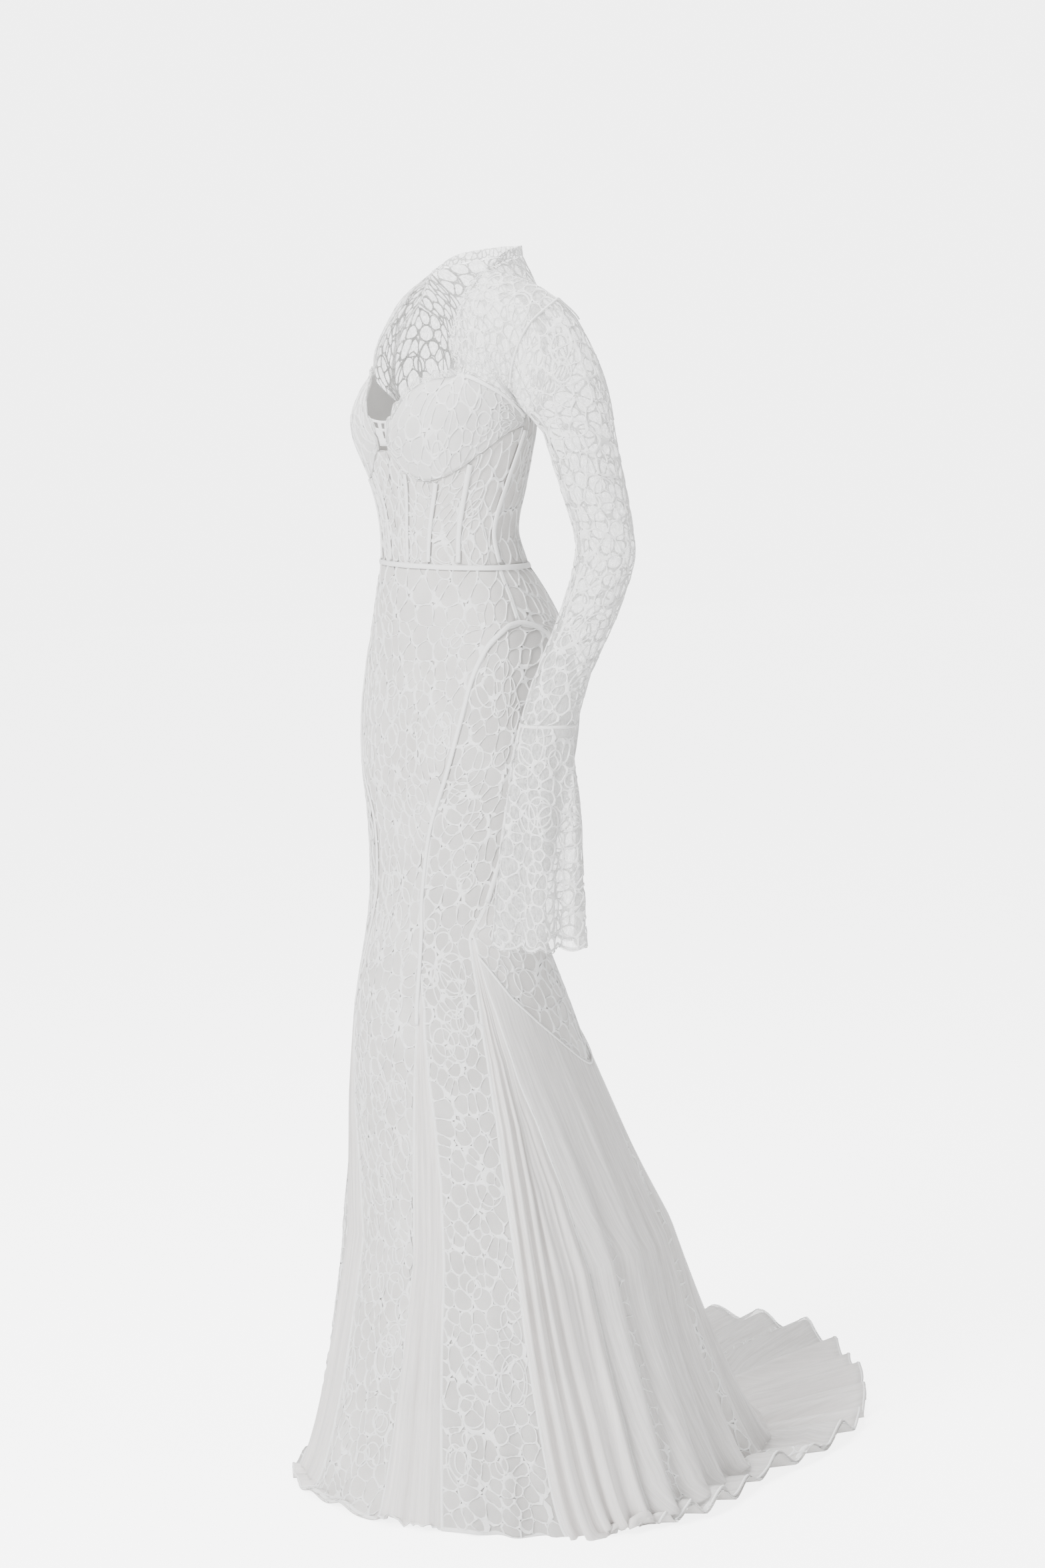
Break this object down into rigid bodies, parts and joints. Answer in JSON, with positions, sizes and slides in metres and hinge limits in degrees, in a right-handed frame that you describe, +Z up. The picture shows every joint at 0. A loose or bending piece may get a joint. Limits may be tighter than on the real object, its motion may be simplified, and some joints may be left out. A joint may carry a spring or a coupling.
{
  "type": "mermaid gown",
  "caption": "White corded-lace mermaid gown, worn shape, with boned corset, sheer yoke, long bell sleeves, chiffon godets and a train.",
  "frame": {"origin": "on the gown's upright axis at shoulder height, 1.5 m above the floor under the hem, where it hangs from the wearer's shoulders", "axes": "+Z up, the gown's front towards -Y, its train towards +Y, the wearer's left towards +X"},
  "size_m": [0.7658, 0.966, 1.6332],
  "materials": {
    "corset_lace": "corded white lace over an opaque pale lining",
    "skirt_lace": "corded white lace over a pale grey-white lining",
    "sheer_lace": "corded white lace on fine see-through net",
    "chiffon": "thin soft white chiffon with a warm tint",
    "trim": "smooth white bias piping, bone casing and lace edging"
  },
  "bodies": {
    "root": {"cup_left": "corset_lace", "cup_right": "corset_lace", "corset_front_left": "corset_lace", "corset_front_right": "corset_lace", "corset_side_left": "corset_lace", "corset_side_right": "corset_lace", "corset_back_left": "corset_lace", "corset_back_right": "corset_lace", "v_inset": "trim", "bone_1_left": "trim", "bone_1_right": "trim", "bone_2_left": "trim", "bone_2_right": "trim", "bone_3_left": "trim", "bone_3_right": "trim", "bone_side_left": "trim", "bone_side_right": "trim", "waist_piping": "trim", "hip_piping_left": "trim", "hip_piping_right": "trim", "armhole_piping_left": "trim", "armhole_piping_right": "trim", "yoke_piping_left": "trim", "yoke_piping_right": "trim", "cup_edging_left": "trim", "cup_edging_right": "trim", "neck_edging_left": "trim", "neck_edging_right": "trim", "yoke_front_left": "sheer_lace", "yoke_front_right": "sheer_lace", "yoke_back_left": "sheer_lace", "yoke_back_right": "sheer_lace", "stand_collar": "sheer_lace", "sleeve_outer_left": "sheer_lace", "sleeve_inner_left": "sheer_lace", "sleeve_outer_right": "sheer_lace", "sleeve_inner_right": "sheer_lace", "bell_outer_left": "sheer_lace", "bell_inner_left": "sheer_lace", "bell_outer_right": "sheer_lace", "bell_inner_right": "sheer_lace", "skirt_front": "skirt_lace", "skirt_side_left": "skirt_lace", "skirt_side_right": "skirt_lace", "skirt_back_left": "skirt_lace", "skirt_back_right": "skirt_lace", "godet_front_left": "chiffon", "godet_front_right": "chiffon", "godet_side_left": "chiffon", "godet_side_right": "chiffon", "train_godet": "chiffon"}
  },
  "joints": []
}
